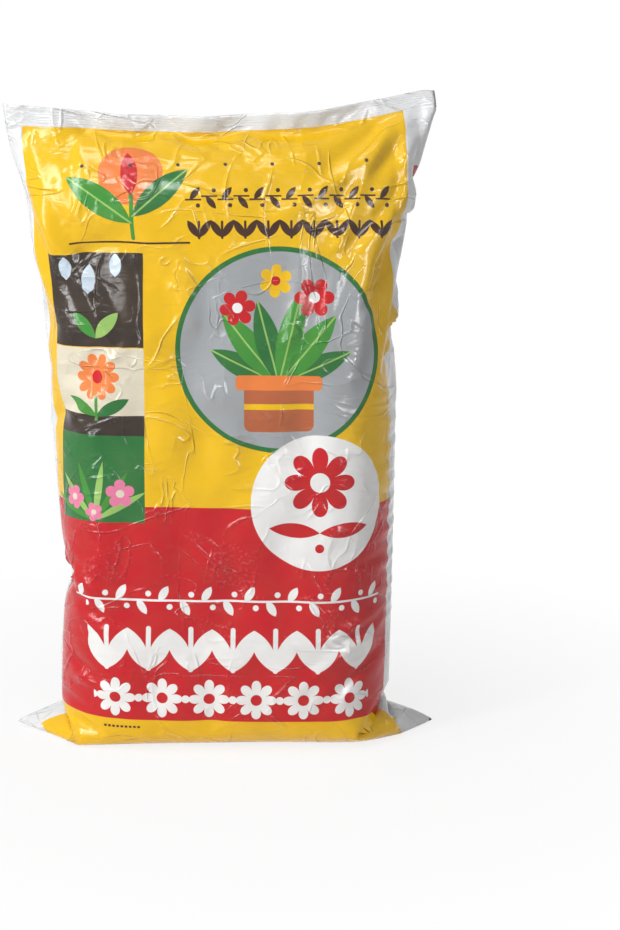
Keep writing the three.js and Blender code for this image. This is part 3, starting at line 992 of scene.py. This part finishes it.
WORLD_LIGHT = 0.24
FLOOR_COLOUR = (0.9, 0.9, 0.9, 1)
FLOOR_WHITE = 0.82  # near the bag, where its shadow falls
ALL_WHITE_FROM, ALL_WHITE = 0.25, 0.75  # the floor's distances from the bag
LAMP_AIM = (0, 0, 0.4)
LAMPS = (
    # name, place, size, watts, whether it lights matt surfaces and not only the gloss
    ("key", (-2.5, -2.3, 1.8), (0.5, 3.0), 96, True),
    ("fill", (2.4, -2.4, 1.0), (1.2, 1.6), 5, True),
    ("top", (-0.5, -0.6, 2.9), (1.4, 0.6), 24, True),
    ("left_gloss", (-2.0, -2.9, 1.5), (0.24, 2.4), 30, False),
    ("right_gloss", (1.8, -2.9, 1.3), (0.32, 2.4), 56, False),
    ("high_gloss", (-0.4, -2.9, 2.9), (1.1, 0.5), 38, False),
)
CAMERA_TURN = 2.0
CAMERA_RISE = 15.0
CAMERA_DISTANCE = 3.2
CAMERA_AIM = (0.108, 0, 0.345)
LENS = 149.5


def stage_material(name):
    """A pale surface that keeps the object's shadow, and otherwise shows as white."""
    material = bpy.data.materials.new(name)
    material.use_nodes = True
    graph = Graph(material.node_tree)
    shader = graph.tree.nodes["Principled BSDF"]
    shader.inputs["Base Color"].default_value = FLOOR_COLOUR
    shader.inputs["Roughness"].default_value = 0.9
    white = graph.node("ShaderNodeEmission", {"Color": (1, 1, 1, 1), "Strength": 1.0}).outputs[0]
    away = graph.vector("LENGTH", graph.node("ShaderNodeTexCoord").outputs["Object"])
    whiteness = graph.range(away, ALL_WHITE_FROM, ALL_WHITE, FLOOR_WHITE, 1.0)
    share = graph.math("MULTIPLY", camera_or_mirror(graph), whiteness)
    mixed = graph.node("ShaderNodeMixShader", [share, shader.outputs[0], white]).outputs[0]
    graph.tree.links.new(mixed, graph.tree.nodes["Material Output"].inputs["Surface"])
    return material


def camera_or_mirror(graph):
    """1 for what the camera sees straight, in a reflection or through glass."""
    path = graph.node("ShaderNodeLightPath").outputs
    mirror = graph.math("MAXIMUM", path["Is Glossy Ray"], path["Is Transmission Ray"])
    return graph.math("MAXIMUM", path["Is Camera Ray"], mirror)


def studio():
    """A pale floor, the lamps and the camera."""
    scene = bpy.context.scene
    scene.view_settings.view_transform = "Standard"
    world = bpy.data.worlds.new("studio")
    world.use_nodes = True
    scene.world = world
    graph = Graph(world.node_tree)
    background = graph.tree.nodes["Background"]
    background.inputs["Color"].default_value = (1, 1, 1, 1)
    strength = graph.range(camera_or_mirror(graph), 0, 1, WORLD_LIGHT, 1.0)
    graph.tree.links.new(strength, background.inputs["Strength"])

    bpy.ops.mesh.primitive_plane_add(size=12)
    floor = bpy.context.object
    floor.name = "floor"
    floor.data.materials.append(stage_material("pale_floor"))

    for name, place, size, power, lights_matt in LAMPS:
        data = bpy.data.lights.new(name, "AREA")
        data.shape = "RECTANGLE"
        data.size, data.size_y = size
        data.energy = power
        lamp = bpy.data.objects.new(name, data)
        scene.collection.objects.link(lamp)
        lamp.location = place
        lamp.visible_diffuse = lights_matt
        lamp.rotation_euler = (Vector(LAMP_AIM) - Vector(place)).to_track_quat("-Z", "Y").to_euler()

    data = bpy.data.cameras.new("camera")
    data.sensor_fit = "HORIZONTAL"
    data.sensor_width = 36
    data.lens = LENS
    camera = bpy.data.objects.new("camera", data)
    scene.collection.objects.link(camera)
    turn, rise = math.radians(CAMERA_TURN), math.radians(CAMERA_RISE)
    way = Vector((math.sin(turn) * math.cos(rise), -math.cos(turn) * math.cos(rise), math.sin(rise)))
    aim = Vector(CAMERA_AIM)
    camera.location = aim + CAMERA_DISTANCE * way
    camera.rotation_euler = (-way).to_track_quat("-Z", "Y").to_euler()
    scene.camera = camera


film = filled_film()
press_folds(film)
skin = film_mesh(film)
skin.materials.append(film_material())
bag = bpy.data.objects.new("bag_film", skin)
bpy.context.scene.collection.objects.link(bag)
dark = plain_material("vent_shadow", VENT_DARK, 0.6)
vents = grown_piece("vent_holes", skin, vent_tree(dark))
ribs = grown_piece("weld_ribs", skin, weld_tree(plain_material("weld_film", WHITE_FILM, 0.3)))
for piece in (bag, vents, ribs):
    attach(piece, "root")
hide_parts("filled_bag")
studio()
